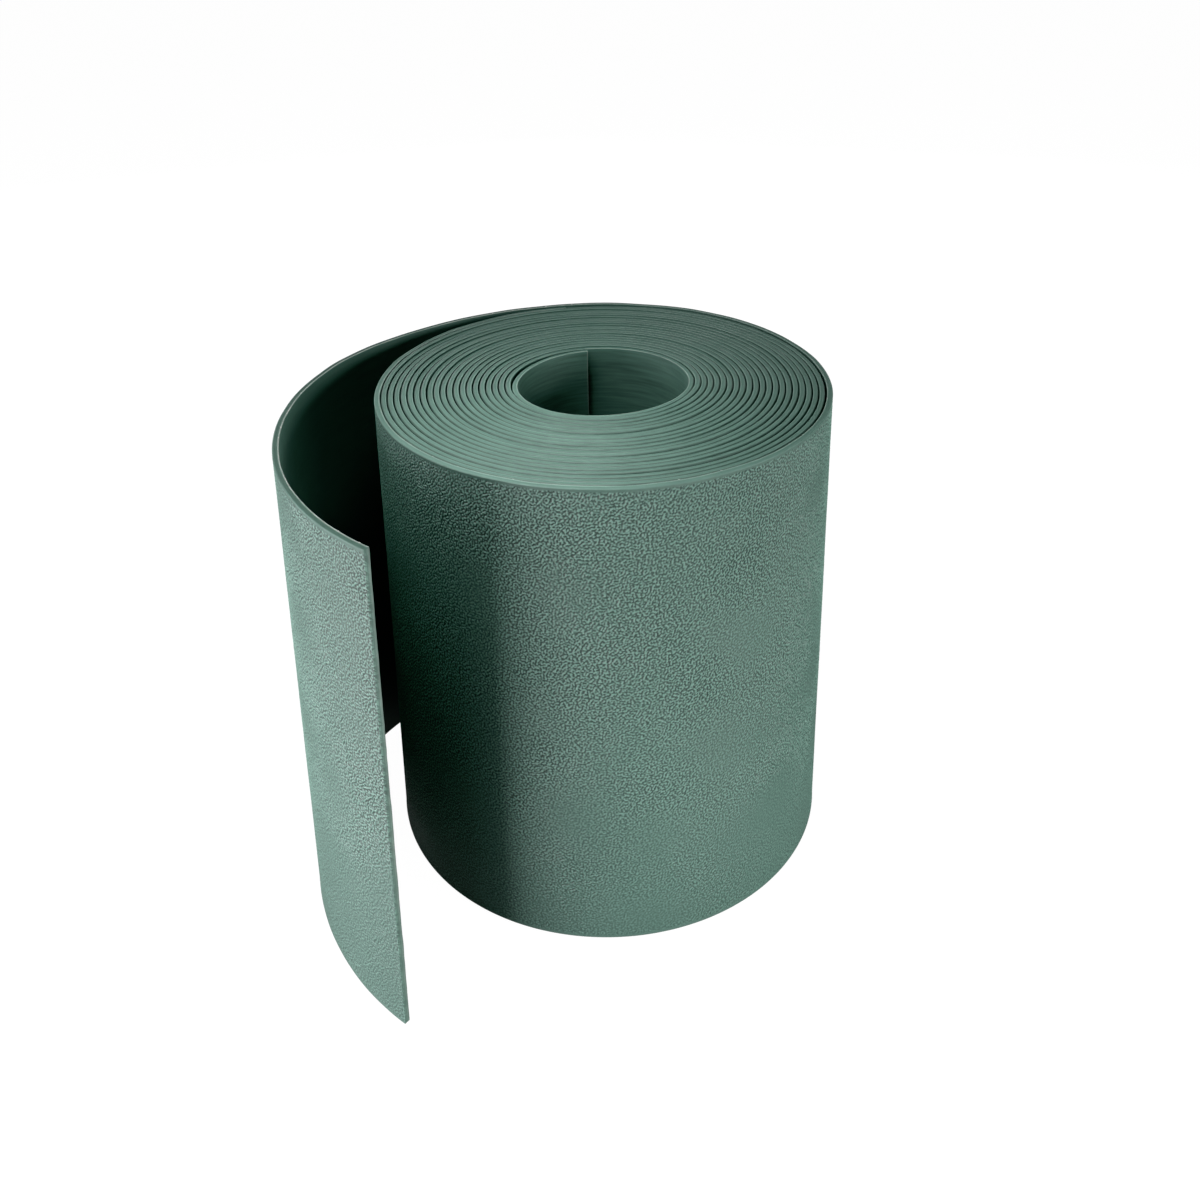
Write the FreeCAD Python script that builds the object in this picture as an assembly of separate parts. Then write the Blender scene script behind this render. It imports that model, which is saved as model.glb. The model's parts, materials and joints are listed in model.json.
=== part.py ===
import FreeCAD, Part
import math
import os

# Coil of solid plastic edging strip, standing on end, with its outer end sprung open.
# Origin: coil axis at the base plane.  +Z up, +X right, +Y back.  Millimetres, degrees.
# Seen from above, the strip winds outward counter-clockwise from its inner end.
# It is built as named lengths, so that the free ends can flex and turns can be left out.
# Lengths of the free ends meet at flex lines: a half-round nose turns in a concave seat.

V = FreeCAD.Vector
ORIGIN = V(0, 0, 0)
Z_AXIS = V(0, 0, 1)

# Strip
HEIGHT = 235.0          # strip width, which is the height of the standing roll
THICK = 3.0
HALF_THICK = THICK / 2.0
CHAMFER = 0.3           # on the long edges

# Coil.  A winding angle keeps counting past 360 from one turn to the next.
GAP = 0.11              # air between neighbouring turns
PITCH = THICK + GAP     # radial step per turn
TURNS = 22
BASE_RADIUS = 41.40     # centreline radius of the arc for winding angles 0 to 180
SPLIT_DEG = 101.0       # direction in which each turn ends and the next begins
CORE_JOIN_DEG = 200.0   # winding angle where turn 1 meets the sprung inner end
TAKEOFF_DEG = 85.0      # direction in which the tail leaves the coil
TAKEOFF_WINDING = 360.0 * TURNS + TAKEOFF_DEG

# Lifted part of the last turn
LIFT_DEG = 300.0        # direction in which it begins
LIFT_WINDING = 360.0 * (TURNS - 1) + LIFT_DEG
LIFT = 0.8              # its extra radius
LIFT_SHIFT = unit_shift = V(-LIFT * math.cos(math.radians(LIFT_DEG)),
                            -LIFT * math.sin(math.radians(LIFT_DEG)), 0)

# Free ends: centreline length of one section, and the bend of each outward from the coil
CORE_STEP = 18.0
CORE_BENDS = [27.76, 21.94, 22.12, 28.16]
TAIL_STEP = 18.8
TAIL_BENDS = [9.2, 8.2, 7.3, 6.8, 6.6, 6.8, 7.1, 7.6, 8.0, 8.2,
              8.1, 7.6, 7.2, 6.8, 6.7, 6.8, 7.0, 7.2, 7.3, 7.4]

# Flex lines
SEAT_CLEAR = 0.05       # radial clearance of a seat over its nose
SEAT_BACK = 0.8         # set-back of the seat end from the flex line
SEAT_OVERRUN = 1.0      # seat cutter beyond the strip, above and below


def unit(deg):
    angle = math.radians(deg)
    return V(math.cos(angle), math.sin(angle), 0)


def profile_face(points):
    """Face in the XZ plane from (x, z) points."""
    return Part.Face(Part.makePolygon([V(x, 0, z) for x, z in points + points[:1]]))


def strip_arc(centre, radius, start_deg, end_deg):
    """Strip along one arc, counter-clockwise, with radius at its centreline."""
    inner, outer = radius - HALF_THICK, radius + HALF_THICK
    face = profile_face([
        (inner + CHAMFER, 0), (outer - CHAMFER, 0),
        (outer, CHAMFER), (outer, HEIGHT - CHAMFER),
        (outer - CHAMFER, HEIGHT), (inner + CHAMFER, HEIGHT),
        (inner, HEIGHT - CHAMFER), (inner, CHAMFER)])
    face.rotate(ORIGIN, Z_AXIS, start_deg)
    face.translate(centre)
    return face.revolve(centre, Z_AXIS, end_deg - start_deg)


def nose(pivot, facing_deg):
    """Half-round end of the strip, bulging towards facing_deg."""
    face = profile_face([
        (0, 0), (HALF_THICK - CHAMFER, 0),
        (HALF_THICK, CHAMFER), (HALF_THICK, HEIGHT - CHAMFER),
        (HALF_THICK - CHAMFER, HEIGHT), (0, HEIGHT)])
    face.rotate(ORIGIN, Z_AXIS, facing_deg - 90.0)
    face.translate(pivot)
    return face.revolve(pivot, Z_AXIS, 180.0)


def seat(pivot):
    """Cutter for the concave end that a nose turns in."""
    return Part.makeCylinder(HALF_THICK + SEAT_CLEAR, HEIGHT + 2 * SEAT_OVERRUN,
                             V(pivot.x, pivot.y, -SEAT_OVERRUN))


def seat_setback(radius):
    """Set-back of a seat end, as an angle along its arc."""
    return math.degrees(SEAT_BACK / radius)


def coil_arc(winding, lifted=False):
    """Centre and centreline radius of the half-turn arc at a winding angle.
    Centres alternate about the axis, so that neighbouring arcs meet on the X axis."""
    half_turn = math.floor(winding / 180.0)
    side = -1 if half_turn % 2 == 0 else 1
    centre = V(side * PITCH / 4.0, 0, 0)
    radius = BASE_RADIUS + half_turn * PITCH / 2.0
    if lifted:
        # The shift cancels the extra radius in the direction where the lift begins.
        return centre + LIFT_SHIFT, radius + LIFT
    return centre, radius


def wound(start, end, lifted=False):
    """Strip arcs between two winding angles, at most one half turn each."""
    arcs = []
    while start < end:
        stop = min(end, 180.0 * (math.floor(start / 180.0) + 1))
        centre, radius = coil_arc(start, lifted)
        start_deg = start % 360.0
        arcs.append(strip_arc(centre, radius, start_deg, start_deg + (stop - start)))
        start = stop
    return arcs


def joined(arcs):
    return arcs[0].fuse(arcs[1:])


def turn_start(number):
    return SPLIT_DEG + 360.0 * (number - 1)


def first_turn():
    """Innermost turn and the pivot of its seat."""
    centre, radius = coil_arc(CORE_JOIN_DEG)
    pivot = centre + unit(CORE_JOIN_DEG) * radius
    arcs = wound(CORE_JOIN_DEG + seat_setback(radius), turn_start(2))
    return joined(arcs).cut(seat(pivot)), pivot


def middle_turn(number):
    return joined(wound(turn_start(number), turn_start(number + 1)))


def last_turn():
    """Outermost turn, partly lifted off the coil, and the pivot of its seat."""
    centre, radius = coil_arc(TAKEOFF_WINDING, lifted=True)
    pivot = centre + unit(TAKEOFF_DEG) * radius
    arcs = wound(turn_start(TURNS), LIFT_WINDING)
    arcs += wound(LIFT_WINDING, TAKEOFF_WINDING - seat_setback(radius), lifted=True)
    return joined(arcs).cut(seat(pivot)), pivot


def free_end(pivot, near_deg, step, bends, sense):
    """Sections from the coil to a free tip; sense is 1 for counter-clockwise, else -1.
    Each has a nose at its near end and, except at the tip, a seat at its far end."""
    sections = []
    for number, bend in enumerate(bends, 1):
        radius = math.degrees(step / bend)
        centre = pivot - unit(near_deg) * radius
        far_deg = near_deg + sense * bend
        far_pivot = centre + unit(far_deg) * radius
        has_seat = number < len(bends)
        end_deg = far_deg - sense * seat_setback(radius) if has_seat else far_deg
        solid = strip_arc(centre, radius, min(near_deg, end_deg), max(near_deg, end_deg))
        solid = solid.fuse(nose(pivot, near_deg - sense * 90.0))
        if has_seat:
            solid = solid.cut(seat(far_pivot))
        sections.append(solid)
        pivot, near_deg = far_pivot, far_deg
    return sections


# Turns, 1 = innermost
pieces = {}
pieces["turn_01"], core_pivot = first_turn()
for number in range(2, TURNS):
    pieces["turn_%02d" % number] = middle_turn(number)
pieces["turn_%02d" % TURNS], tail_pivot = last_turn()

# Sprung inner end and free tail, 1 = next to the coil
core = free_end(core_pivot, CORE_JOIN_DEG, CORE_STEP, CORE_BENDS, sense=-1)
for number, shape in enumerate(core, 1):
    pieces["core_end_%d" % number] = shape
tail = free_end(tail_pivot, TAKEOFF_DEG, TAIL_STEP, TAIL_BENDS, sense=1)
for number, shape in enumerate(tail, 1):
    pieces["tail_%02d" % number] = shape

os.makedirs("parts", exist_ok=True)
for name, shape in pieces.items():
    assert len(shape.Solids) == 1 and shape.isValid(), name
    shape.Solids[0].exportStep("parts/%s.step" % name)
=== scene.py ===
import json
import math

import bpy
import numpy as np
from mathutils import Matrix, Vector


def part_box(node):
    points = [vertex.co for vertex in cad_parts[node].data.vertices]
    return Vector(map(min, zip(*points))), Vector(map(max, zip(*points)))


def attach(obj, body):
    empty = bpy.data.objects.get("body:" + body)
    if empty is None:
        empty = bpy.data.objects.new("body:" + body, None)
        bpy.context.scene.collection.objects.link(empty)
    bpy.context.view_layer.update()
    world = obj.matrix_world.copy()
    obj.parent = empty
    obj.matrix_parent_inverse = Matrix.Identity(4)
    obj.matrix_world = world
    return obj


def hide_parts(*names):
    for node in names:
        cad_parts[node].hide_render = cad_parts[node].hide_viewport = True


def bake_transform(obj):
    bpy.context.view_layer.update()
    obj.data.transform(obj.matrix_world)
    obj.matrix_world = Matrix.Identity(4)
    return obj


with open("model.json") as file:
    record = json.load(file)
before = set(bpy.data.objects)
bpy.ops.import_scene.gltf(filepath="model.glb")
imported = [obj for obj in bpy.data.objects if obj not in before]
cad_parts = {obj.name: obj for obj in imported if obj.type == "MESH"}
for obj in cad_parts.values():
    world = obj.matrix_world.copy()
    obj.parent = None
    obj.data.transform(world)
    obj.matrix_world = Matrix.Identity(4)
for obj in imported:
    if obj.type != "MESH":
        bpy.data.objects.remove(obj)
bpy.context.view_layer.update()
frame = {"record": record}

# Roll of solid plastic edging strip standing on end.  Lengths in this script are
# millimetres until a mesh is written, which is in metres.
RNG = np.random.default_rng(20699)

# ---- the strip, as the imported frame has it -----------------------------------
joints = {j["name"]: j for j in frame["record"]["behaviour"]["joints"]}
HEIGHT = (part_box("turn_22")[1][2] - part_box("turn_22")[0][2]) * 1000.0
THICK, PITCH, RHO0, TURNS = 3.0, 3.11, 41.40, 22
START, TAKEOFF, LOOSE_DEG, LOOSE, CORE_JOIN = 101.0, 85.0, 300.0, 0.8, 200.0
HALF = THICK / 2.0
PHI_TAKE = 360.0 * TURNS + TAKEOFF
PHI_LOOSE = 360.0 * (TURNS - 1) + LOOSE_DEG
TAIL_STEP = 18.8
TAIL_BEND = [9.2, 8.2, 7.3, 6.8, 6.6, 6.8, 7.1, 7.6, 8.0, 8.2,
             8.1, 7.6, 7.2, 6.8, 6.7, 6.8, 7.0, 7.2, 7.3, 7.4]
CORE_STEP, CORE_BEND = 18.0, [27.76, 21.94, 22.12, 28.16]
DS = 0.42          # grid step of the grained faces


def unit(deg):
    a = np.radians(deg)
    return np.stack([np.cos(a), np.sin(a)], -1)


def wound_path(phi):
    """Centreline points and outward normals of the wound strip at angles phi."""
    phi = np.atleast_1d(np.asarray(phi, float))
    k = np.floor(phi / 180.0 + 1e-9)
    c = np.stack([np.where(k % 2 == 0, -PITCH / 4, PITCH / 4), 0 * k], -1)
    rho = RHO0 + k * PITCH / 2
    lift = phi > PHI_LOOSE
    c = c - np.where(lift, LOOSE, 0.0)[:, None] * unit(LOOSE_DEG)
    rho = rho + np.where(lift, LOOSE, 0.0)
    n = unit(phi % 360.0)
    return c + n * rho[:, None], n


# A hand-wound roll is not round all the way in: towards the front its turns sit a
# little flatter, by FLAT mm at the first turn and fading to nothing at the outermost.
FLAT_AZ = [200, 215, 225, 234, 242, 249, 256, 269, 283, 298, 306, 315, 324, 337, 350, 362]
FLAT_MM = [0.0, 0.2, 0.6, 1.0, 1.5, 2.0, 2.4, 3.1, 3.4, 3.4, 3.3, 3.0, 2.5, 1.6, 0.6, 0.0]
_az = np.arange(0, 360.5, 0.5)
_fl = np.interp(_az, FLAT_AZ, FLAT_MM, left=0.0, right=0.0)
_k = np.exp(-(np.arange(-24, 25) * 0.5 / 5.0) ** 2)
_fl = np.convolve(np.r_[_fl[-25:-1], _fl, _fl[1:25]], _k / _k.sum(), "valid")[:len(_az)]


def flatten(phi, P, N):
    """Moves points of the wound strip in by the flattening at their angle and turn."""
    depth = np.clip(1.0 - (phi - CORE_JOIN) / (START + 360.0 * 21 - CORE_JOIN), 0.0, 1.0)
    return P - N * (np.interp(phi % 360.0, _az, _fl) * depth)[:, None]


def joint_xy(name):
    return np.array(joints[name]["pos_m"][:2]) * 1000.0


def tail_path(s):
    """Centreline and outward normal of the tail at arc length s from the take-off."""
    s = np.atleast_1d(np.asarray(s, float))
    p, e = joint_xy("tail_flex_01"), TAKEOFF
    out_p, out_n = np.zeros((len(s), 2)), np.zeros((len(s), 2))
    for i, bend in enumerate(TAIL_BEND):
        rho = math.degrees(TAIL_STEP / bend)
        c = p - unit(e) * rho
        m = (s >= i * TAIL_STEP - 1e-9) | (i == 0)
        ang = e + (s - i * TAIL_STEP) / TAIL_STEP * bend
        n = unit(ang)
        out_p[m], out_n[m] = (c + n * rho)[m], n[m]
        e += bend
        p = c + unit(e) * rho
    return out_p, out_n


def core_path(s):
    """The sprung inner end at arc length s back from its join with turn 1."""
    s = np.atleast_1d(np.asarray(s, float))
    p, e = joint_xy("core_flex_1"), CORE_JOIN
    out_p, out_n = np.zeros((len(s), 2)), np.zeros((len(s), 2))
    for i, bend in enumerate(CORE_BEND):
        rho = math.degrees(CORE_STEP / bend)
        c = p - unit(e) * rho
        m = (s >= i * CORE_STEP - 1e-9) | (i == 0)
        n = unit(e - (s - i * CORE_STEP) / CORE_STEP * bend)
        out_p[m], out_n[m] = (c + n * rho)[m], n[m]
        e -= bend
        p = c + unit(e) * rho
    return out_p, out_n


# ---- procedural surface fields --------------------------------------------------
def band_noise(nx, ny, step, wavelength, width, rng, stretch=1.0):
    """Band-limited random field on a grid, about -1 to 1."""
    f = np.fft.rfft2(rng.standard_normal((nx, ny)))
    kx = np.fft.fftfreq(nx, step)[:, None] * stretch
    ky = np.fft.rfftfreq(ny, step)[None, :]
    k = np.hypot(kx, ky)
    k0 = 1.0 / wavelength
    f *= np.exp(-((k - k0) ** 2) / (2 * (width * k0) ** 2))
    g = np.fft.irfft2(f, (nx, ny))
    return g / g.std()


def smooth_noise(n, step, wavelength, rng):
    f = np.fft.rfft(rng.standard_normal(n))
    k = np.fft.rfftfreq(n, step)
    f *= np.exp(-(k * wavelength) ** 2)
    g = np.fft.irfft(f, n)
    return g / (g.std() + 1e-9)


# ---- mesh writing ----------------------------------------------------------------
def zip_cap(ring, split):
    """Triangles closing a section: the outer and inner chains of the ring are zipped
    together by height.  ring is (rows, 3); split is the row in the middle of the rim."""
    nr = len(ring)
    mid = nr - 5                                # row in the middle of the underside
    out = [(mid + 1 + i) % nr for i in range((split - mid - 1) % nr + 1)]
    inn = [(mid - i) % nr for i in range((mid - split) % nr)]
    z = ring[:, 2]
    tri, a, b = [], 0, 0
    while a < len(out) - 1 or b < len(inn) - 1:
        if b == len(inn) - 1 or (a < len(out) - 1 and z[out[a + 1]] <= z[inn[b + 1]]):
            tri.append((out[a], out[a + 1], inn[b]))
            a += 1
        else:
            tri.append((out[a], inn[b + 1], inn[b]))
            b += 1
    return np.array(tri)


def write_mesh(name, grid, attrs, normals, split):
    """One closed length of strip.  grid is (columns, rows, 3) in mm, rows closed into a
    loop.  attrs maps a name to a (columns, rows) array.  normals is like grid."""
    nc, nr = grid.shape[:2]
    co = (grid.reshape(-1, 3) * 0.001).astype(np.float32)
    i = np.arange(nc - 1)[:, None] * nr
    j = np.arange(nr)[None, :]
    j2 = (j + 1) % nr
    quads = np.stack([i + j, i + nr + j, i + nr + j2, i + j2], -1).reshape(-1, 4)
    t0 = zip_cap(grid[0], split)
    t1 = zip_cap(grid[-1], split)[:, ::-1] + (nc - 1) * nr
    loops = np.concatenate([quads.ravel(), t0.ravel(), t1.ravel()]).astype(np.int32)
    starts = np.concatenate([np.arange(len(quads)) * 4,
                             len(quads) * 4 + np.arange(len(t0) + len(t1)) * 3]).astype(np.int32)
    me = bpy.data.meshes.new(name)
    me.vertices.add(len(co))
    me.vertices.foreach_set("co", co.ravel())
    me.loops.add(len(loops))
    me.loops.foreach_set("vertex_index", loops)
    me.polygons.add(len(starts))
    me.polygons.foreach_set("loop_start", starts)
    me.update(calc_edges=True)
    me.polygons.foreach_set("use_smooth", np.ones(len(starts), bool))
    for k, v in attrs.items():
        a = me.attributes.new(k, "FLOAT", "POINT")
        a.data.foreach_set("value", np.ascontiguousarray(v, np.float32).ravel())
    ln = normals.reshape(-1, 3)[loops]
    for at, n, ends in ((len(quads) * 4, len(t0) * 3, (0, 1)),
                        (len(quads) * 4 + len(t0) * 3, len(t1) * 3, (-1, -2))):
        d = (grid[ends[0]] - grid[ends[1]]).mean(0)
        ln[at:at + n] = d / np.linalg.norm(d)
    me.normals_split_custom_set(ln.astype(np.float32))
    me.update()
    ob = bpy.data.objects.new(name, me)
    bpy.context.scene.collection.objects.link(ob)
    return ob


def field_slopes(f, step):
    """Exact slopes of a periodic field along both axes."""
    F = np.fft.rfft2(f)
    kx = np.fft.fftfreq(f.shape[0], step)[:, None]
    ky = np.fft.rfftfreq(f.shape[1], step)[None, :]
    return (np.fft.irfft2(2j * np.pi * kx * F, f.shape),
            np.fft.irfft2(2j * np.pi * ky * F, f.shape))


def grid_normals(g):
    """Smooth normals of a (columns, rows) grid, rows closed, columns open."""
    du = np.gradient(g, axis=0)
    dv = (np.roll(g, -1, 1) - np.roll(g, 1, 1)) / 2
    n = np.cross(du, dv)
    n /= np.linalg.norm(n, axis=2, keepdims=True) + 1e-12
    return n


def profile(rows_out, rows_in, H, roll, burr_mm):
    """Closed section of the strip, counter-clockwise seen along the strip with the
    outer face first: bottom to top outside, over the top, down the inside, under.
    Returns offset d from the centreline, height z, and the masks used for detail."""
    ro, rv, ri = roll, roll * 1.15, 0.22
    d, z, zone, edge, burr = [], [], [], [], []

    def add(dd, zz, zo, ed, bu=0.0):
        d.append(dd); z.append(zz); zone.append(zo); edge.append(ed); burr.append(bu)

    for t in np.linspace(rv, H - rv, rows_out):
        add(HALF, t, 0.0, 0.0)
    for a in (18.0, 36.0, 54.0, 72.0):
        r = math.radians(a)
        add(HALF - ro + ro * math.cos(r), H - rv + rv * math.sin(r), 0.5, 0.6)
    # cut rim: slightly dished, with a small raised burr at the inner edge
    top = HALF - ro
    for f, h in ((0.0, 0.0), (0.25, -0.03), (0.5, -0.06), (0.75, -0.05)):
        add(top + (-0.92 - top) * f, H + h, 1.0, 0.3 if f == 0.0 else 0.0)
    for x, h, bu in ((-0.92, 0.0, 0.1), (-1.06, 0.13, 0.7), (-1.18, 0.21, 1.0),
                     (-1.30, 0.20, 1.0), (-1.40, 0.08, 0.8)):
        add(x, H + h * burr_mm / 0.21, 1.0, 1.0, bu)
    for a in (150.0,):
        r = math.radians(a)
        add(-HALF + ri + ri * math.cos(r), H - ri + ri * math.sin(r), 1.5, 1.0, 0.3)
    for t in np.linspace(H - ri, ri, rows_in):
        add(-HALF, t, 2.0, 0.0)
    for a in (200.0, 235.0):
        r = math.radians(a)
        add(-HALF + ri + ri * math.cos(r), ri + ri * math.sin(r), 1.5, 1.0, 0.2)
    for f, h in ((0.0, 0.0), (0.3, 0.02), (0.6, 0.04), (0.9, 0.02)):
        add(-1.2 + (top + 1.2) * f, h, 1.0, 0.0)
    for a in (278.0, 300.0, 322.0, 341.0):
        r = math.radians(a)
        add(HALF - ro + ro * math.cos(r), rv + rv * math.sin(r), 0.5, 0.6)
    return map(np.array, (d, z, zone, edge, burr))


# ---- one length of strip --------------------------------------------------------
class Strip:
    """Everything about a run of strip sampled on one regular set of columns, so that
    neighbouring pieces cut from it share their edges exactly."""

    def __init__(self, P, N, S, grain, rows_out, rows_in, thin=None, lift=None,
                 wave=None, amp=0.10, roll=0.5, groove_mm=0.12,
                 burr_mm=0.21, specks=None):
        self.P, self.N, self.S = P, N, S
        H = HEIGHT
        d, z, zone, edge, burr = profile(rows_out, rows_in, H, roll, burr_mm)
        nc, nr = len(P), len(d)
        D = np.repeat(d[None, :], nc, 0)
        Z = np.repeat(z[None, :], nc, 0)
        g = np.zeros((nc, nr))
        if grain is not None:
            zo = Z[0, :rows_out]
            fade = np.clip((np.minimum(zo, H - zo) - 1.2) / 0.9, 0, 1)
            fade = fade * fade * (3 - 2 * fade)
            groove = np.exp(-((H - zo - 1.35) / 0.40) ** 2) + np.exp(-((zo - 1.35) / 0.40) ** 2)
            g[:, :rows_out] = grain * fade
            D[:, :rows_out] += amp * (g[:, :rows_out] - 1.0) * fade - groove_mm * groove
        if thin is not None:       # inner face set back a little, which opens the gap
            D[:, zone >= 1.5] += thin[:, None]
            m = (zone == 1.0) & (d < -0.9)
            D[:, m] += thin[:, None]
        if lift is not None:       # rims of a hand-wound roll are never quite level
            top = Z > H / 2
            Z = Z + np.where(top, lift[:, None], 0.0)
        if wave is not None:
            D = D + wave[:, None]
        BU = np.repeat(burr[None, :], nc, 0)
        if specks is not None:     # here and there a crumb stands up from the burr
            crest = (burr >= 0.7) & (z > H / 2)
            Z[:, crest] += 0.34 * specks[:, None]
            BU[:, crest] += 1.6 * specks[:, None]
        G = np.zeros((nc, nr, 3))
        G[:, :, :2] = P[:, None, :] + N[:, None, :] * D[:, :, None]
        G[:, :, 2] = Z
        self.G, self.nr = G, nr
        self.split = rows_out + 7               # a row in the middle of the rim
        self.normal = grid_normals(G)
        if grain is not None:      # the grain is fine, so its normals come from the field
            ds, dz = field_slopes(grain, DS)
            tangent = np.stack([-N[:, 1], N[:, 0]], -1)
            n = np.zeros((nc, rows_out, 3))
            n[:, :, :2] = N[:, None, :] - amp * (ds * fade)[:, :, None] * tangent[:, None, :]
            n[:, :, 2] = -amp * dz * fade
            n /= np.linalg.norm(n, axis=2, keepdims=True)
            keep = np.clip(fade * 3.0, 0, 1)[None, :, None]
            n = n * keep + self.normal[:, :rows_out] * (1 - keep)
            self.normal[:, :rows_out] = n / np.linalg.norm(n, axis=2, keepdims=True)
        self.attrs = {
            "grain": g,
            "zone": np.repeat(zone[None, :], nc, 0),
            "edge": np.repeat(edge[None, :], nc, 0),
            "burr": BU,
            "along": np.repeat(S[:, None], nr, 1) * 0.001,
        }

    def piece(self, name, a, b):
        """Columns a to b inclusive as one closed mesh."""
        return write_mesh(name, self.G[a:b + 1],
                          {k: v[a:b + 1] for k, v in self.attrs.items()},
                          self.normal[a:b + 1], self.split)


def cut_end(strip, last, rng):
    """A knife-cut end: square, slightly ragged, with a milky line at both faces."""
    G = strip.G
    idx, nxt = (-1, -2) if last else (0, 1)
    nr = G.shape[1]
    jag = np.abs(smooth_noise(nr, 1.0, 3.0, rng)) * 0.10
    nicks = rng.random(nr) > 0.985
    jag += np.convolve(nicks * 0.22, [0.5, 1.0, 0.6], "same")
    inner = strip.attrs["zone"][0] >= 1.5
    jag = np.where(inner, jag, 0.35 * np.abs(smooth_noise(nr, 1.0, 3.0, rng)) * 0.10)
    direction = G[idx] - G[nxt]
    direction /= np.linalg.norm(direction, axis=1, keepdims=True) + 1e-9
    G[idx] += direction * jag[:, None]
    strip.attrs["burr"][idx] = np.maximum(strip.attrs["burr"][idx], np.where(inner, 0.30, 0.0))
    # the whole cut end also gets the painted edge highlight
    strip.attrs["edge"][idx] = 0.7
    fresh = grid_normals(G)
    strip.normal[idx], strip.normal[nxt] = fresh[idx], fresh[nxt]


# =================================================================================
# materials
# =================================================================================
def new_material(name, base, seed, rough=0.48, milk=1.0, drags=1.0, tail_rim=0.0):
    m = bpy.data.materials.new(name)
    m.use_nodes = True
    nt = m.node_tree
    nt.nodes.clear()
    L = nt.links.new

    def node(kind, **kw):
        n = nt.nodes.new(kind)
        for k, v in kw.items():
            setattr(n, k, v)
        return n

    out = node("ShaderNodeOutputMaterial")
    bsdf = node("ShaderNodeBsdfPrincipled")
    L(bsdf.outputs[0], out.inputs[0])
    tc = node("ShaderNodeTexCoord")
    att = {k: node("ShaderNodeAttribute", attribute_name=k) for k in ("grain", "zone", "edge", "burr", "along")}

    def math_(op, a, b=None, clamp=False):
        n = node("ShaderNodeMath", operation=op, use_clamp=clamp)
        for i, v in enumerate((a, b)):
            if v is None:
                continue
            if isinstance(v, (int, float)):
                n.inputs[i].default_value = v
            else:
                L(v, n.inputs[i])
        return n.outputs[0]

    def mix(fac, a, b, blend="MIX"):
        n = node("ShaderNodeMix", data_type="RGBA", blend_type=blend)
        for i, v in ((0, fac), (6, a), (7, b)):
            if isinstance(v, (int, float)):
                n.inputs[i].default_value = v
            elif isinstance(v, tuple):
                n.inputs[i].default_value = v + (1.0,)
            else:
                L(v, n.inputs[i])
        return n.outputs[2]

    def noise(scale, detail=3.0, rough_=0.5, vec=None):
        n = node("ShaderNodeTexNoise")
        n.inputs["Scale"].default_value = scale
        n.inputs["Detail"].default_value = detail
        n.inputs["Roughness"].default_value = rough_
        L(vec or tc.outputs["Object"], n.inputs["Vector"])
        return n.outputs["Fac"]

    # coordinates that run along the strip: along, across
    sep = node("ShaderNodeSeparateXYZ")
    L(tc.outputs["Object"], sep.inputs[0])
    comb = node("ShaderNodeCombineXYZ")
    L(math_("MULTIPLY", att["along"].outputs["Fac"], 0.06), comb.inputs[0])
    L(sep.outputs["Z"], comb.inputs[1])
    comb.inputs[2].default_value = seed * 0.137
    streak_vec = comb.outputs[0]

    zone = att["zone"].outputs["Fac"]
    is_rim = math_("SUBTRACT", 1.0, math_("MULTIPLY", math_("ABSOLUTE", math_("SUBTRACT", zone, 1.0)), 2.4), True)
    is_inner = math_("MULTIPLY", math_("SUBTRACT", zone, 1.5), 2.0, True)

    dark = tuple(c * 0.74 for c in base)
    light = tuple(min(1.0, c * 1.22 + 0.004) for c in base)
    broad = noise(14.0, 2.0)
    fine = noise(420.0, 3.0)
    col = mix(math_("ADD", math_("MULTIPLY", broad, 0.6), math_("MULTIPLY", fine, 0.4)), dark, light)
    # valleys of the grain are painted darker, painted shade in the hollows, and ridges painted lighter, a painted
    # highlight for glints
    gr = math_("ADD", math_("MULTIPLY", att["grain"].outputs["Fac"], 0.80), 0.46, True)
    painted_valley_shade = math_("MULTIPLY", math_("SUBTRACT", 0.5, gr, True), 1.55)
    painted_ridge_highlight = math_("MULTIPLY", math_("SUBTRACT", gr, 0.5, True), 1.6)
    col = mix(painted_valley_shade, col, tuple(c * 0.22 for c in base))
    col = mix(painted_ridge_highlight, col, tuple(min(1.0, c * 2.1 + 0.012) for c in base))
    # rims: paler where the knife has cut, with streaks along the strip
    rim_streak = noise(900.0, 2.0, 0.5, streak_vec)
    rim_mott = math_("ADD", math_("MULTIPLY", rim_streak, 0.6), math_("MULTIPLY", noise(760.0, 2.0, 0.6), 0.4))
    rim_col = mix(rim_mott, tuple(c * 0.92 + 0.003 for c in base), tuple(min(1, c * 1.42 + 0.014) for c in base))
    # on the tail the middle of the rim is painted darker: painted shade for the shadowed band between its lit edges
    if tail_rim:
        on_tail = math_("MULTIPLY", att["along"].outputs["Fac"], 12.0, True)
        rim_col = mix(math_("MULTIPLY", on_tail, tail_rim), rim_col, tuple(c * 0.55 for c in base))
    col = mix(math_("MULTIPLY", is_rim, 0.85), col, rim_col)
    # long edges and arrises painted lighter: a painted highlight
    painted_edge_highlight_n = noise(120.0, 4.0, 0.6)
    col = mix(math_("MULTIPLY", math_("MULTIPLY", att["edge"].outputs["Fac"], 0.55), painted_edge_highlight_n), col,
              tuple(min(1, c * 2.1 + 0.03) for c in base))
    # the cut edge has gone milky along its burr, more in some places than others
    burr_n = node("ShaderNodeMapRange", clamp=True)
    L(noise(55.0, 5.0, 0.7), burr_n.inputs[0])
    burr_n.inputs[1].default_value, burr_n.inputs[2].default_value = 0.30, 0.75
    milky = math_("MULTIPLY", att["burr"].outputs["Fac"],
                  math_("ADD", math_("MULTIPLY", burr_n.outputs[0], 0.60 * milk), 0.14 * milk))
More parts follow.
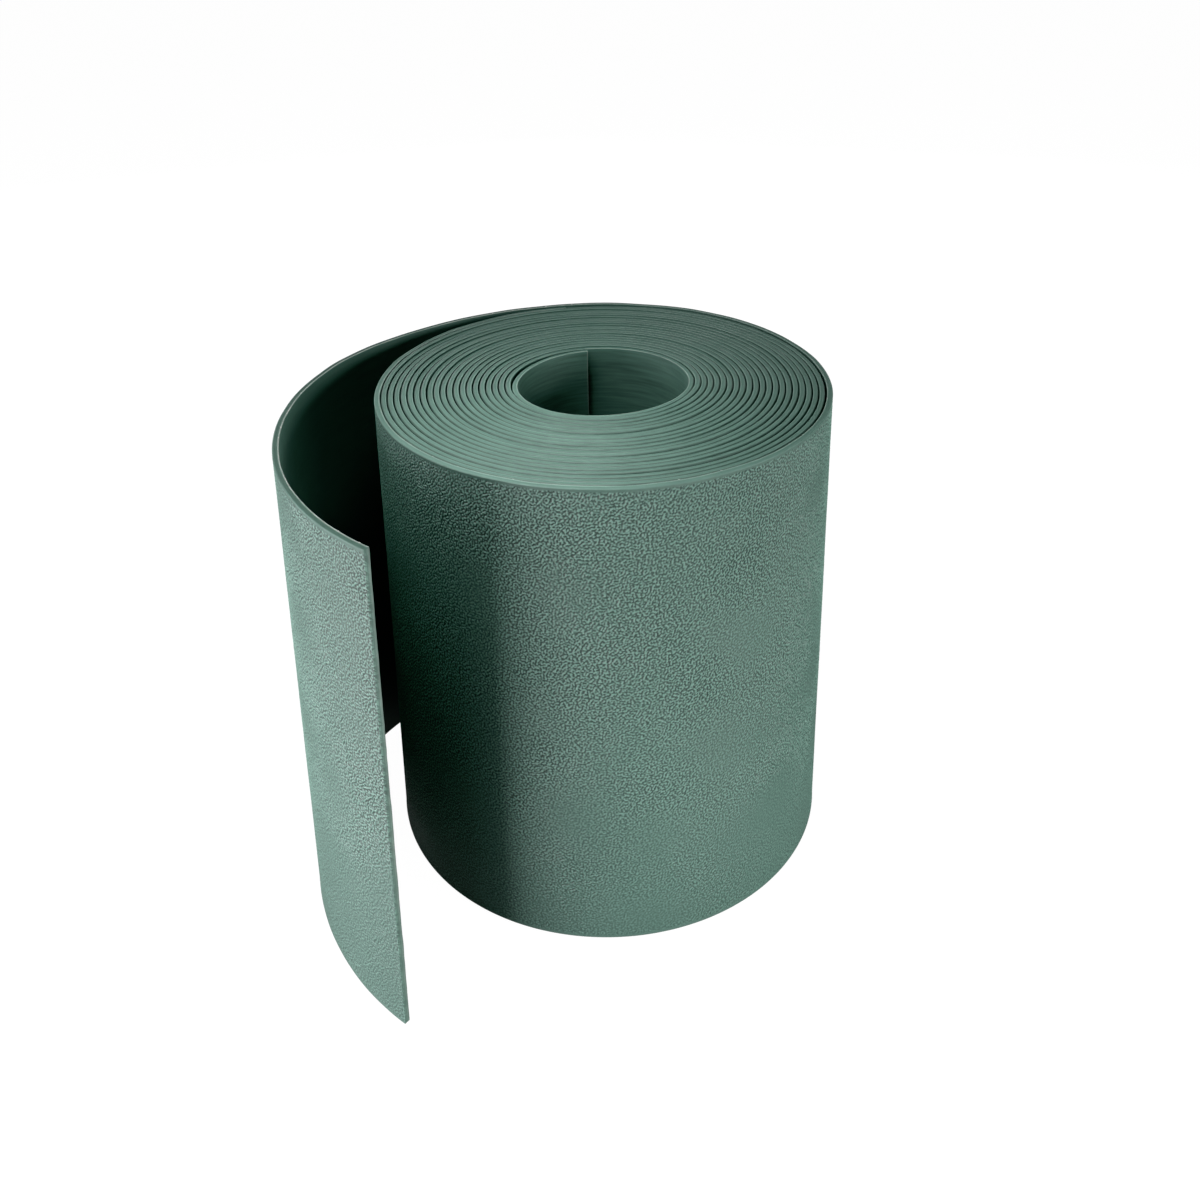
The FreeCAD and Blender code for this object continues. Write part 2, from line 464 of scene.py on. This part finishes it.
    # inner face: smooth, with drag lines along the strip
    drag = noise(700.0, 3.0, 0.6, streak_vec)
    drag_r = node("ShaderNodeMapRange", clamp=True)
    L(drag, drag_r.inputs[0])
    drag_r.inputs[1].default_value, drag_r.inputs[2].default_value = 0.30, 0.72
    drag_c = drag_r.outputs[0]
    inner_col = mix(drag_c, tuple(c * (0.86 - 0.34 * drags) for c in base),
                    tuple(c * (0.86 + 0.30 * drags) for c in base))
    col = mix(is_inner, col, inner_col)
    col = mix(milky, col, (0.52, 0.53, 0.50))
    # pale dust and rub marks, sparse
    rub = node("ShaderNodeMapRange", clamp=True)
    L(noise(38.0, 5.0, 0.65), rub.inputs[0])
    rub.inputs[1].default_value, rub.inputs[2].default_value = 0.66, 0.80
    col = mix(math_("MULTIPLY", rub.outputs[0], 0.07), col, tuple(min(1, c * 1.7 + 0.05) for c in base))
    L(col, bsdf.inputs["Base Color"])

    r = math_("ADD", rough, math_("MULTIPLY", math_("SUBTRACT", noise(60.0, 3.0), 0.5), 0.16))
    r = math_("ADD", r, math_("MULTIPLY", math_("SUBTRACT", 1.0, gr), 0.10))
    r = math_("SUBTRACT", r, math_("MULTIPLY", is_inner, 0.06))
    r = math_("ADD", r, math_("MULTIPLY", is_rim, 0.16))
    L(r, bsdf.inputs["Roughness"])
    L(math_("MULTIPLY", math_("SUBTRACT", 1.0, math_("MULTIPLY", is_rim, 0.6)), 0.42),
      bsdf.inputs["Specular IOR Level"])

    # bump: grain-sized wrinkles where the mesh has none, micro grain everywhere
    vor = node("ShaderNodeTexVoronoi", feature="SMOOTH_F1")
    vor.inputs["Scale"].default_value = 900.0
    L(tc.outputs["Object"], vor.inputs["Vector"])
    b1 = node("ShaderNodeBump")
    b1.inputs["Strength"].default_value = 0.22
    b1.inputs["Distance"].default_value = 0.00012
    L(vor.outputs["Distance"], b1.inputs["Height"])
    b2 = node("ShaderNodeBump")
    b2.inputs["Distance"].default_value = 0.0001
    L(math_("MULTIPLY", drag, math_("ADD", is_inner, math_("MULTIPLY", is_rim, 0.7))), b2.inputs["Height"])
    b2.inputs["Strength"].default_value = 0.30
    L(b1.outputs[0], b2.inputs["Normal"])
    L(b2.outputs[0], bsdf.inputs["Normal"])
    return m


BASE = (0.059, 0.119, 0.095)
mat_outer = new_material("strip_grained", BASE, 1, drags=0.15, tail_rim=0.75)
mat_wound = new_material("strip_wound", BASE, 2, milk=0.12, drags=0.5)
mat_core = new_material("strip_core", tuple(c * 1.15 for c in BASE), 3, milk=0.4, drags=0.6)


def finish_piece(ob, mat, nodes=()):
    ob.data.materials.append(mat)
    if nodes:
        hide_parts(*nodes)


# =================================================================================
# the outermost turn and the tail: one continuous grained sheet
# =================================================================================
COL = int(round(TAIL_STEP / DS))                # columns per tail section
n_tail = COL * len(TAIL_BEND)
phi_a = START + 360.0 * (TURNS - 1)
turn_len = math.radians(PHI_TAKE - phi_a) * 109.0
n_turn = int(round(turn_len / DS))
rows_out = int(round((HEIGHT - 0.84) / DS)) + 1
rows_in = 60

phi = np.linspace(phi_a, PHI_TAKE, n_turn + 1)
Pc, Nc = wound_path(phi)
s_tail = np.arange(1, n_tail + 1) * (TAIL_STEP / COL)
Pt, Nt = tail_path(s_tail)
P, N = np.concatenate([Pc, Pt]), np.concatenate([Nc, Nt])
S = np.r_[-np.cumsum(np.r_[0, np.hypot(*np.diff(Pc, axis=0).T)])[::-1], s_tail]
n_all = len(P)

g = band_noise(n_all, rows_out, DS, 1.44, 0.34, RNG)
g2 = band_noise(n_all, rows_out, DS, 2.3, 0.40, RNG)
grain = np.tanh(1.0 * g + 0.35 * g2)
region = band_noise(n_all, rows_out, DS, 60.0, 0.5, RNG)     # depth of grain drifts
grain *= np.clip(0.88 + 0.16 * region, 0.5, 1.15)
worn = np.clip((np.linspace(0.4, HEIGHT - 0.4, rows_out) - 15.0) / 125.0, 0, 1)
grain *= (0.50 + 0.52 * worn * worn * (3 - 2 * worn))[None, :]   # softer towards the foot

wave = smooth_noise(n_all, DS, 40.0, RNG) * 0.10
settle = np.clip((np.arange(n_all) - n_turn * 0.75) / (n_turn * 0.25), 0, 1)
wave = np.abs(wave) * (0.15 + 0.85 * settle)
lift = smooth_noise(n_all, DS, 30.0, RNG) * 0.10 - 0.12
thin = np.clip(0.10 + 0.05 * smooth_noise(n_all, DS, 25.0, RNG), 0.0, 0.22)
thin[:n_turn + 1] += 0.18 * np.clip((n_turn - np.arange(n_turn + 1)) / 200.0, 0, 1)
specks = (RNG.random(n_all) > 0.988) * RNG.uniform(0.4, 1.0, n_all)
specks = np.maximum(specks, 0.6 * np.r_[0, specks[:-1]])
outer = Strip(P, N, S, grain, rows_out, rows_in, thin=thin, lift=lift, wave=wave, amp=0.24, roll=0.5, specks=specks)
outer.attrs["burr"][:n_turn] *= 0.4             # paler where the tail has been handled
cut_end(outer, True, RNG)

half = COL // 2
SHEETS = 11
cuts = [int(round(i * (n_turn - half) / SHEETS)) for i in range(SHEETS + 1)]
for i in range(SHEETS):
    ob = outer.piece("turn_22_sheet_%d" % (i + 1), cuts[i], cuts[i + 1])
    finish_piece(ob, mat_outer, ["turn_22"])
    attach(ob, "turn_22")

a = cuts[SHEETS]
for i in range(len(TAIL_BEND)):
    body_b = "tail_%02d" % (i + 1)
    b = n_turn + i * COL + half
    ob = outer.piece("tail_sheet_%02d" % (i + 1), a, b)
    finish_piece(ob, mat_outer, [body_b])
    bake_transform(ob)
    a = b
ob = outer.piece("tail_sheet_tip", a, n_all - 1)
finish_piece(ob, mat_outer, ["tail_20"])
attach(ob, "tail_20")

# =================================================================================
# wound turns 1 to 21 and the sprung inner end
# =================================================================================
def wound_turn(k):
    phi_0 = CORE_JOIN if k == 1 else START + 360.0 * (k - 1)
    phi_1 = START + 360.0 * k
    r_mid = RHO0 + PITCH * (k - 0.3)
    n = int(math.radians(phi_1 - phi_0) * r_mid / (1.6))
    ph = np.linspace(phi_0, phi_1, n + 1)
    p, nn = wound_path(ph)
    return ph, flatten(ph, p, nn), nn


rim_lift = RNG.normal(0, 1, 40)
core_rows_in = 60
all_phi, all_lift, all_thin = [], [], []
grid_phi = np.linspace(CORE_JOIN, START + 360.0 * 21, 6000)
lift_curve = smooth_noise(6000, 1.0, 55.0, RNG) * 0.09
lift_curve += smooth_noise(6000, 1.0, 400.0, RNG) * 0.12
thin_curve = np.clip(0.38 + 0.05 * smooth_noise(6000, 1.0, 90.0, RNG), 0.2, 0.55)
thin_curve *= np.interp(grid_phi % 360.0, [0, 40, 70, 115, 150, 180, 250, 300, 360],
                        [0.40, 0.15, 0.02, 0.02, 0.45, 0.95, 1.5, 1.5, 0.40])

for k in range(21, 0, -1):
    ph, p, nn = wound_turn(k)
    s = np.r_[0, np.cumsum(np.hypot(*np.diff(p, axis=0).T))] + k * 1000.0
    lf = np.interp(ph, grid_phi, lift_curve) - 0.15
    tn = np.interp(ph, grid_phi, thin_curve)
    st = Strip(p, nn, s, None, 24, core_rows_in if k == 1 else 12, thin=tn, lift=lf, roll=0.85, burr_mm=0.12)
    # the top of the outer face and its roll-off are painted with the darkest valley colour: painted shade in the
    # crevice between one rim and the next
    st.attrs["grain"][:, 20:28] = np.array([-1, -1, -1, -1, -1, -1, -0.9, -0.5])[None, :]
    ob = st.piece("turn_%02d_strip" % k, 0, len(p) - 1)
    finish_piece(ob, mat_core if k == 1 else mat_wound, ["turn_%02d" % k])
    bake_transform(ob)
    if k == 1:
        turn1 = st

n_core = int(round(CORE_STEP / (1.6))) * 4
s_core = np.linspace(0, CORE_STEP * 4, n_core + 1)
s_core[-2] = s_core[-1] - 0.5                   # keeps the paler cut edge a thin line
Pk, Nk = core_path(s_core)
Pk, Nk = Pk[::-1], Nk[::-1]                     # tip first, so columns run the same way
lf = smooth_noise(n_core + 1, 1.0, 12.0, RNG) * 0.05 + (np.interp(CORE_JOIN, grid_phi, lift_curve) - 0.15)
tn = np.full(n_core + 1, np.interp(CORE_JOIN, grid_phi, thin_curve))
core = Strip(Pk, Nk, (CORE_STEP * 4 - s_core) + 5.0, None, 24, core_rows_in, thin=tn, lift=lf, roll=0.75, burr_mm=0.16)
cut_end(core, False, RNG)
# the inner face at the cut end is painted extra milky: partly the milky cut edge, partly a painted highlight for the
# lit cut face
core.attrs["burr"][0] = np.where(core.attrs["zone"][0] >= 1.5, 1.3, core.attrs["burr"][0])
per = n_core // 4
# tip piece rides on the last section; the others are each cut across one flex line and left in place
bounds_ = [0, per // 2, per // 2 + per, per // 2 + 2 * per, per // 2 + 3 * per, n_core]
names = ["core_end_4", "core_end_3", "core_end_2", "core_end_1", "turn_01"]
ob = core.piece("core_end_tip", bounds_[0], bounds_[1])
finish_piece(ob, mat_core, ["core_end_4"])
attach(ob, "core_end_4")
for i in range(4):
    a, b = bounds_[i + 1], bounds_[i + 2]
    ob = core.piece("core_end_sheet_%d" % (4 - i), a, b)
    body_in, body_out = names[i], names[i + 1]
    finish_piece(ob, mat_core, [body_in])
    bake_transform(ob)

# =================================================================================
# floor, light, camera
# =================================================================================
def plain(name, col, rough):
    m = bpy.data.materials.new(name)
    m.use_nodes = True
    b = m.node_tree.nodes["Principled BSDF"]
    b.inputs["Base Color"].default_value = col + (1.0,)
    b.inputs["Roughness"].default_value = rough
    b.inputs["Specular IOR Level"].default_value = 0.1
    return m


FLOOR_BOUNCE = 0.25
bpy.ops.mesh.primitive_plane_add(size=12, location=(0, 0, -0.0006))
floor = bpy.context.object
floor.name = "floor"
fm = plain("floor_pale", (0.80, 0.80, 0.80), 0.9)
ft = fm.node_tree
f_out = ft.nodes["Material Output"]
f_lp = ft.nodes.new("ShaderNodeLightPath")
f_em = ft.nodes.new("ShaderNodeEmission")
f_em.inputs[0].default_value = (1.0, 1.0, 1.0, 1.0)
f_em.inputs[1].default_value = 1.06
f_dk = ft.nodes.new("ShaderNodeBsdfDiffuse")
f_dk.inputs[0].default_value = (FLOOR_BOUNCE, FLOOR_BOUNCE, FLOOR_BOUNCE, 1.0)
f_a = ft.nodes.new("ShaderNodeMixShader")
f_b = ft.nodes.new("ShaderNodeMixShader")
f_b.inputs[0].default_value = 0.93
ft.links.new(ft.nodes["Principled BSDF"].outputs[0], f_b.inputs[1])
ft.links.new(f_em.outputs[0], f_b.inputs[2])
f_gl = ft.nodes.new("ShaderNodeEmission")
f_gl.inputs[0].default_value = (1.0, 1.0, 1.0, 1.0)
f_gl.inputs[1].default_value = 0.22
f_c = ft.nodes.new("ShaderNodeMixShader")
ft.links.new(f_lp.outputs["Is Glossy Ray"], f_c.inputs[0])
ft.links.new(f_dk.outputs[0], f_c.inputs[1])
ft.links.new(f_gl.outputs[0], f_c.inputs[2])
ft.links.new(f_lp.outputs["Is Camera Ray"], f_a.inputs[0])
ft.links.new(f_c.outputs[0], f_a.inputs[1])
ft.links.new(f_b.outputs[0], f_a.inputs[2])
ft.links.new(f_a.outputs[0], f_out.inputs[0])
floor.data.materials.append(fm)

world = bpy.data.worlds.new("studio")
bpy.context.scene.world = world
world.use_nodes = True
wn = world.node_tree
wn.nodes.clear()
w_out = wn.nodes.new("ShaderNodeOutputWorld")
w_mix = wn.nodes.new("ShaderNodeMixShader")
w_lp = wn.nodes.new("ShaderNodeLightPath")
w_cam = wn.nodes.new("ShaderNodeBackground")
w_amb = wn.nodes.new("ShaderNodeBackground")
w_cam.inputs[0].default_value = (1, 1, 1, 1)
w_cam.inputs[1].default_value = 1.0
w_amb.inputs[0].default_value = (0.95, 1.0, 0.98, 1)
w_amb.inputs[1].default_value = 0.02
wn.links.new(w_lp.outputs["Is Camera Ray"], w_mix.inputs[0])
wn.links.new(w_amb.outputs[0], w_mix.inputs[1])
wn.links.new(w_cam.outputs[0], w_mix.inputs[2])
wn.links.new(w_mix.outputs[0], w_out.inputs[0])


def area(name, loc, target, size, power, col=(1, 1, 1)):
    li = bpy.data.lights.new(name, "AREA")
    li.shape = "RECTANGLE"
    li.size, li.size_y = size
    li.energy = power
    li.color = col
    ob = bpy.data.objects.new(name, li)
    bpy.context.scene.collection.objects.link(ob)
    ob.location = loc
    ob.visible_camera = False
    ob.rotation_euler = (Vector(target) - Vector(loc)).to_track_quat("-Z", "Y").to_euler()
    return ob


WARM = (1.08, 0.95, 1.01)                        # a trace of magenta greys the green


def studio(name, az, el, power, size=0.6, dist=1.5, col=(1, 1, 1)):
    """A square softbox on a dome around the middle of the roll."""
    a, e = math.radians(az), math.radians(el)
    area(name, (dist * math.cos(a) * math.cos(e), dist * math.sin(a) * math.cos(e),
                0.12 + dist * math.sin(e)), (0, 0, 0.12), (size, size), power, col)


studio("key_right", 337, 10, 20.5)
studio("side_left", 180, 10, 5.5, col=WARM)
studio("front_left_a", 192, 10, 6.6, col=WARM)
studio("front_left_b", 230, 10, 3.6, size=1.2, col=WARM)
studio("high_left_a", 205, 35, 4.5, col=WARM)
studio("high_left_b", 222, 56, 8.5)
studio("back_fill_a", 78, 12, 4.0)
studio("back_fill_b", 112, 12, 6.0)
# a small gridded box straight above the front of the rims
grid_box = area("rim_box", (-0.035, -0.085, 0.50), (-0.035, -0.085, 0.0), (0.10, 0.10), 0.155)
grid_box.data.spread = math.radians(64.0)
area("low_left", (-0.42, -0.42, 0.03), (-0.10, -0.12, 0.05), (0.25, 0.1), 3.9, WARM)
area("low_right", (0.20, -0.30, 0.02), (0.04, -0.10, 0.07), (0.15, 0.03), 0.40)

cam_data = bpy.data.cameras.new("camera")
cam = bpy.data.objects.new("camera", cam_data)
bpy.context.scene.collection.objects.link(cam)
bpy.context.scene.camera = cam
F_PX, CX, CY = 1266.94, 611.11, 300.20
PITCH_D, YAW_D, ROLL_D = 19.7270, -0.3487, -0.6756
CAM = Vector((0.008506, -0.565739, 0.479531))
cam_data.sensor_width = 36.0
cam_data.lens = F_PX * 36.0 / 1200.0
p_, y_, r_ = (math.radians(v) for v in (PITCH_D, YAW_D, ROLL_D))
fwd = Vector((math.sin(y_) * math.cos(p_), math.cos(y_) * math.cos(p_), -math.sin(p_)))
right = fwd.cross(Vector((0, 0, 1))).normalized()
up = right.cross(fwd)
r2 = right * math.cos(r_) + up * math.sin(r_)
u2 = up * math.cos(r_) - right * math.sin(r_)
rot = Matrix((r2, u2, -fwd)).transposed()
cam.matrix_world = Matrix.Translation(CAM) @ rot.to_4x4()
cam_data.clip_start = 0.01
cam_data.clip_end = 50.0


def shift_driver(prop, value):
    """The lens shift belongs to this viewpoint only: it is zero once the camera moves."""
    d = cam_data.driver_add(prop).driver
    d.type = "SCRIPTED"
    terms = []
    for ax, want in zip("XYZ", CAM):
        v = d.variables.new()
        v.name = "l" + ax.lower()
        v.type = "TRANSFORMS"
        v.targets[0].id = cam
        v.targets[0].transform_type = "LOC_" + ax
        v.targets[0].transform_space = "WORLD_SPACE"
        terms.append("abs(%s - (%.6f))" % (v.name, want))
    d.expression = "%.6f if %s < 0.001 else 0.0" % (value, " + ".join(terms))


shift_driver("shift_x", (600.0 - CX) / 1200.0)
shift_driver("shift_y", (CY - 600.0) / 1200.0)

bpy.context.scene.view_settings.view_transform = "Standard"
bpy.context.scene.view_settings.look = "None"
bpy.context.scene.view_settings.exposure = 0.0
bpy.context.scene.view_settings.use_curve_mapping = True
cm = bpy.context.scene.view_settings.curve_mapping
cv = cm.curves[3]
for x_, y_ in ((0.012, 0.003), (0.03, 0.019), (0.06, 0.050), (0.12, 0.116), (0.25, 0.25), (0.6, 0.6)):
    cv.points.new(x_, y_)
cm.update()
